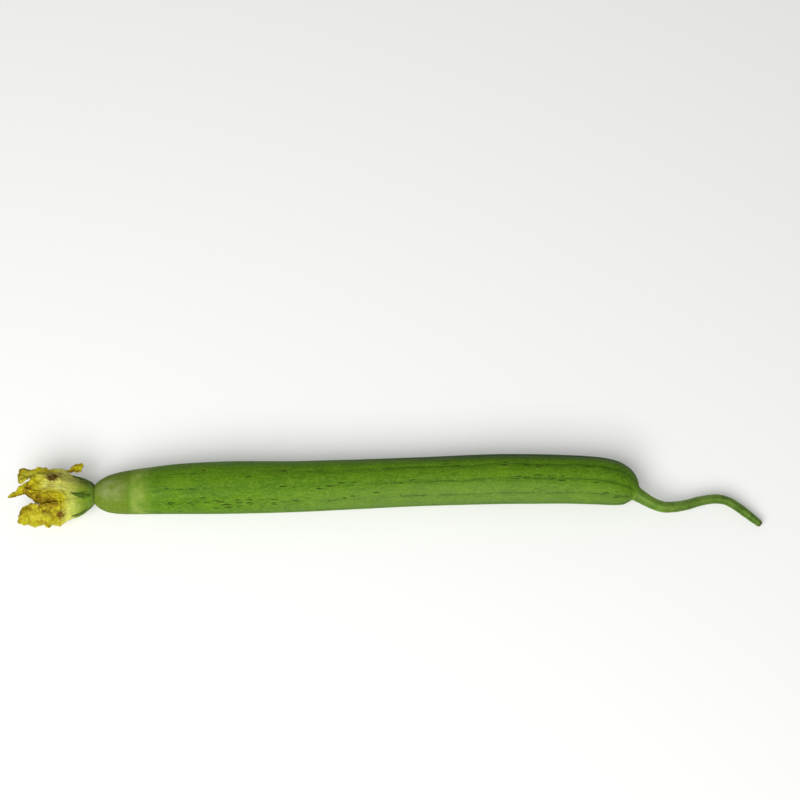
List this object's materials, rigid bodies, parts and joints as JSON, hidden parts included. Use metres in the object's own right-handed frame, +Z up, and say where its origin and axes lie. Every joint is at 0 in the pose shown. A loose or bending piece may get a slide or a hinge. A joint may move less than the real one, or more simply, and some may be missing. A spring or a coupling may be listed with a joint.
{
  "type": "luffa gourd",
  "caption": "Young luffa gourd lying on its side: a long, slightly bowed, faintly ribbed fruit with its curved stalk and its wilted yellow flower.",
  "frame": {"origin": "on the surface the gourd lies on, under the middle of its bounding box", "axes": "+X along the fruit towards the stalk, so the flower is at -X; +Z up; the fruit bows slightly towards +Y and the cut tip of the stalk turns towards -Y"},
  "size_m": [0.5267, 0.0518, 0.0372],
  "materials": {
    "skin": "satin",
    "stalk": "satin",
    "calyx": "matte",
    "petals": "matte"
  },
  "bodies": {
    "root": {"fruit": "skin", "stalk": "stalk", "calyx": "calyx", "corolla": "petals"}
  },
  "joints": []
}
